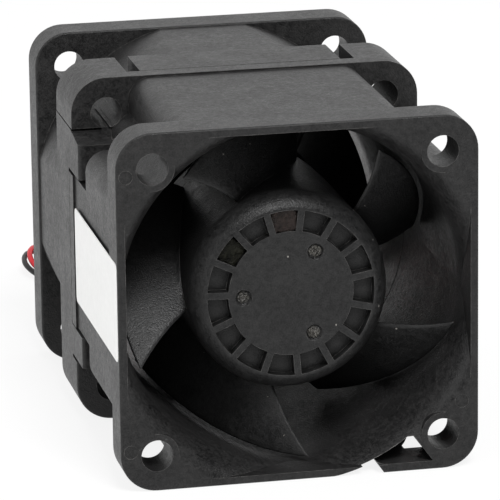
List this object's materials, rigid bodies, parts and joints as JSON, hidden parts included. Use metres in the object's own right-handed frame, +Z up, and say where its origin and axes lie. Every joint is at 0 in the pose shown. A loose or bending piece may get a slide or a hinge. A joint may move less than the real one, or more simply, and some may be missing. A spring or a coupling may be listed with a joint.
{
  "type": "axial cooling fan",
  "caption": "Black square counter-rotating axial server fan: impellers in line in frames that clip together, a side label and tied leads.",
  "frame": {"origin": "centre of the inlet face on the fan's axis", "axes": "+Y along the shafts from the inlet face to the outlet face, +X to the right seen from the inlet, +Z up; the flanges' flat sides rest at Z = -0.020"},
  "size_m": [0.0441, 0.1024, 0.04],
  "materials": {
    "frame_plastic": "satin",
    "impeller_plastic": "satin",
    "label_paper": "matte",
    "bearing_steel": "polished",
    "shaft_steel": "polished",
    "spring_steel": "satin",
    "brass": "satin",
    "yoke_steel": "satin",
    "lamination_steel": "matte",
    "bonded_magnet": "matte",
    "insulator_plastic": "satin",
    "copper_wire": "satin",
    "board_laminate": "gloss",
    "chip_plastic": "matte",
    "tin": "satin",
    "balance_putty": "matte",
    "lead_black": "satin",
    "lead_red": "satin",
    "tie_plastic": "satin"
  },
  "bodies": {
    "housing": {"inlet_frame": "frame_plastic", "outlet_frame": "frame_plastic", "inlet_bearing_sleeve": "brass", "inlet_bearing_outer_rings": "bearing_steel", "inlet_bearing_shields": "bearing_steel", "inlet_stator_core": "lamination_steel", "inlet_insulator_front": "insulator_plastic", "inlet_insulator_rear": "insulator_plastic", "inlet_coils": "copper_wire", "inlet_circuit_board": "board_laminate", "inlet_board_parts": "chip_plastic", "inlet_winding_pins": "tin", "inlet_lead_tails": "lead_black", "outlet_bearing_sleeve": "brass", "outlet_bearing_outer_rings": "bearing_steel", "outlet_bearing_shields": "bearing_steel", "outlet_stator_core": "lamination_steel", "outlet_insulator_front": "insulator_plastic", "outlet_insulator_rear": "insulator_plastic", "outlet_coils": "copper_wire", "outlet_circuit_board": "board_laminate", "outlet_board_parts": "chip_plastic", "outlet_winding_pins": "tin", "outlet_lead_tails": "lead_black", "rating_label": "label_paper", "inlet_lead_black": "lead_black", "inlet_lead_red": "lead_red", "outlet_lead_black": "lead_black", "outlet_lead_red": "lead_red", "lead_hank": "lead_black", "hank_tie": "tie_plastic", "lead_tinned_ends": "tin"},
    "inlet_rotor": {"inlet_impeller": "impeller_plastic", "inlet_balance_putty": "balance_putty", "inlet_yoke": "yoke_steel", "inlet_magnet": "bonded_magnet", "inlet_shaft_bush": "brass", "inlet_shaft": "shaft_steel", "inlet_retaining_ring": "spring_steel", "inlet_preload_spring": "spring_steel", "inlet_bearing_inner_rings": "bearing_steel", "inlet_bearing_balls": "bearing_steel"},
    "outlet_rotor": {"outlet_impeller": "impeller_plastic", "outlet_balance_putty": "balance_putty", "outlet_yoke": "yoke_steel", "outlet_magnet": "bonded_magnet", "outlet_shaft_bush": "brass", "outlet_shaft": "shaft_steel", "outlet_retaining_ring": "spring_steel", "outlet_preload_spring": "spring_steel", "outlet_bearing_inner_rings": "bearing_steel", "outlet_bearing_balls": "bearing_steel"}
  },
  "joints": [
    {"name": "inlet_spin", "type": "hinge", "parent": "housing", "child": "inlet_rotor", "pos_m": [0, 0.0143, 0], "axis": [0, -1, 0], "continuous": true},
    {"name": "outlet_spin", "type": "hinge", "parent": "housing", "child": "outlet_rotor", "pos_m": [0, 0.0455, 0], "axis": [0, 1, 0], "continuous": true}
  ]
}
